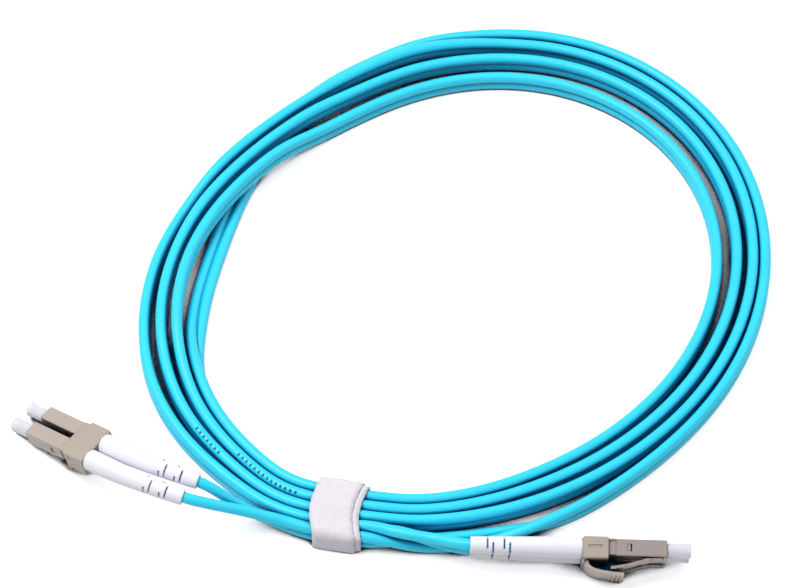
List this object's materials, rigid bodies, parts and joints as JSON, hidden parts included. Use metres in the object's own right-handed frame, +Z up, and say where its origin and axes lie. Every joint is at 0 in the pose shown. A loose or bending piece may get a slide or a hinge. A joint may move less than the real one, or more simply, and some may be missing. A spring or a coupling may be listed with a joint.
{
  "type": "fiber optic patch cord",
  "caption": "Coiled duplex fiber optic patch cord with a latching twin plug at each end, held by a hook-and-loop tie.",
  "frame": {"origin": "under the middle of the coiled cord's outline, on the surface it lies on", "axes": "+X along the longest extent, from the left pair of plugs to the right side of the coil; +Z up, the shortest extent"},
  "size_m": [0.2076, 0.1841, 0.0169],
  "materials": {
    "cord_jacket": "smooth, softly glossy extruded jacket",
    "tie": "hook-and-loop felt",
    "clip_plastic": "satin moulded plastic",
    "plug_plastic": "satin moulded plastic",
    "metal_parts": "satin metal",
    "ceramic": "polished zirconia ceramic",
    "backbone_plastic": "moulded plastic",
    "buffer_plastic": "tight buffer",
    "boot_rubber": "matte soft rubber",
    "cap_plastic": "frosted translucent plastic"
  },
  "bodies": {
    "cord": {"cord_coil": "cord_jacket", "cord_lead_a": "cord_jacket", "cord_lead_b": "cord_jacket", "leg_a1": "cord_jacket", "leg_a2": "cord_jacket", "leg_b1": "cord_jacket", "leg_b2": "cord_jacket", "cable_tie": "tie", "duplex_clip_a": "clip_plastic", "duplex_clip_b": "clip_plastic", "housing_a1": "plug_plastic", "housing_a2": "plug_plastic", "housing_b1": "plug_plastic", "housing_b2": "plug_plastic", "ferrule_spring_a1": "metal_parts", "ferrule_spring_a2": "metal_parts", "ferrule_spring_b1": "metal_parts", "ferrule_spring_b2": "metal_parts", "backbone_a1": "backbone_plastic", "backbone_a2": "backbone_plastic", "backbone_b1": "backbone_plastic", "backbone_b2": "backbone_plastic", "crimp_sleeve_a1": "metal_parts", "crimp_sleeve_a2": "metal_parts", "crimp_sleeve_b1": "metal_parts", "crimp_sleeve_b2": "metal_parts", "fiber_buffer_a1": "buffer_plastic", "fiber_buffer_a2": "buffer_plastic", "fiber_buffer_b1": "buffer_plastic", "fiber_buffer_b2": "buffer_plastic", "boot_a1": "boot_rubber", "boot_a2": "boot_rubber", "boot_b1": "boot_rubber", "boot_b2": "boot_rubber"},
    "lever_a": {"trigger_a": "clip_plastic"},
    "lever_b": {"trigger_b": "clip_plastic"},
    "latch_arm_a1": {"latch_a1": "plug_plastic"},
    "ferrule_assembly_a1": {"ferrule_a1": "ceramic", "ferrule_holder_a1": "metal_parts"},
    "cap_a1": {"dust_cap_a1": "cap_plastic"},
    "latch_arm_a2": {"latch_a2": "plug_plastic"},
    "ferrule_assembly_a2": {"ferrule_a2": "ceramic", "ferrule_holder_a2": "metal_parts"},
    "cap_a2": {"dust_cap_a2": "cap_plastic"},
    "latch_arm_b1": {"latch_b1": "plug_plastic"},
    "ferrule_assembly_b1": {"ferrule_b1": "ceramic", "ferrule_holder_b1": "metal_parts"},
    "cap_b1": {"dust_cap_b1": "cap_plastic"},
    "latch_arm_b2": {"latch_b2": "plug_plastic"},
    "ferrule_assembly_b2": {"ferrule_b2": "ceramic", "ferrule_holder_b2": "metal_parts"},
    "cap_b2": {"dust_cap_b2": "cap_plastic"}
  },
  "joints": [
    {"name": "press_lever_a", "type": "hinge", "parent": "cord", "child": "lever_a", "pos_m": [-0.07912, -0.05504, 0.00639], "axis": [0.617, 0.7869, 0], "range_deg": [0, 9], "stiffness_Nm_per_rad": 0.02},
    {"name": "press_lever_b", "type": "hinge", "parent": "cord", "child": "lever_b", "pos_m": [0.04976, -0.08698, 0.00565], "axis": [0.0191, -0.326, 0.9452], "range_deg": [0, 9], "stiffness_Nm_per_rad": 0.02},
    {"name": "press_latch_a1", "type": "hinge", "parent": "cord", "child": "latch_arm_a1", "pos_m": [-0.09615, -0.04565, 0.00157], "axis": [0.617, 0.7869, 0], "range_deg": [-5.2, 0]},
    {"name": "push_ferrule_a1", "type": "slide", "parent": "cord", "child": "ferrule_assembly_a1", "axis": [-0.7493, 0.5875, -0.3057], "range_m": [-0.0009, 0], "stiffness_N_per_m": 1000, "deforming": ["ferrule_spring_a1"]},
    {"name": "pull_cap_a1", "type": "slide", "parent": "cord", "child": "cap_a1", "axis": [-0.7493, 0.5875, -0.3057], "range_m": [0, 0.02]},
    {"name": "press_latch_a2", "type": "hinge", "parent": "cord", "child": "latch_arm_a2", "pos_m": [-0.09229, -0.04074, 0.00157], "axis": [0.617, 0.7869, 0], "range_deg": [-5.2, 0]},
    {"name": "push_ferrule_a2", "type": "slide", "parent": "cord", "child": "ferrule_assembly_a2", "axis": [-0.7493, 0.5875, -0.3057], "range_m": [-0.0009, 0], "stiffness_N_per_m": 1000, "deforming": ["ferrule_spring_a2"]},
    {"name": "pull_cap_a2", "type": "slide", "parent": "cord", "child": "cap_a2", "axis": [-0.7493, 0.5875, -0.3057], "range_m": [0, 0.02]},
    {"name": "press_latch_b1", "type": "hinge", "parent": "cord", "child": "latch_arm_b1", "pos_m": [0.06959, -0.08714, 0.0085], "axis": [0.0191, -0.326, 0.9452], "range_deg": [-5.2, 0]},
    {"name": "push_ferrule_b1", "type": "slide", "parent": "cord", "child": "ferrule_assembly_b1", "axis": [0.9995, -0.0174, -0.0262], "range_m": [-0.0009, 0], "stiffness_N_per_m": 1000, "deforming": ["ferrule_spring_b1"]},
    {"name": "pull_cap_b1", "type": "slide", "parent": "cord", "child": "cap_b1", "axis": [0.9995, -0.0174, -0.0262], "range_m": [0, 0.02]},
    {"name": "press_latch_b2", "type": "hinge", "parent": "cord", "child": "latch_arm_b2", "pos_m": [0.06947, -0.0851, 0.0026], "axis": [0.0191, -0.326, 0.9452], "range_deg": [-5.2, 0]},
    {"name": "push_ferrule_b2", "type": "slide", "parent": "cord", "child": "ferrule_assembly_b2", "axis": [0.9995, -0.0174, -0.0262], "range_m": [-0.0009, 0], "stiffness_N_per_m": 1000, "deforming": ["ferrule_spring_b2"]},
    {"name": "pull_cap_b2", "type": "slide", "parent": "cord", "child": "cap_b2", "axis": [0.9995, -0.0174, -0.0262], "range_m": [0, 0.02]}
  ],
  "couplings": [
    {"joint": "press_latch_a1", "follows": "press_lever_a", "ratio": -0.55},
    {"joint": "press_latch_a2", "follows": "press_lever_a", "ratio": -0.55},
    {"joint": "press_latch_b1", "follows": "press_lever_b", "ratio": -0.55},
    {"joint": "press_latch_b2", "follows": "press_lever_b", "ratio": -0.55}
  ]
}
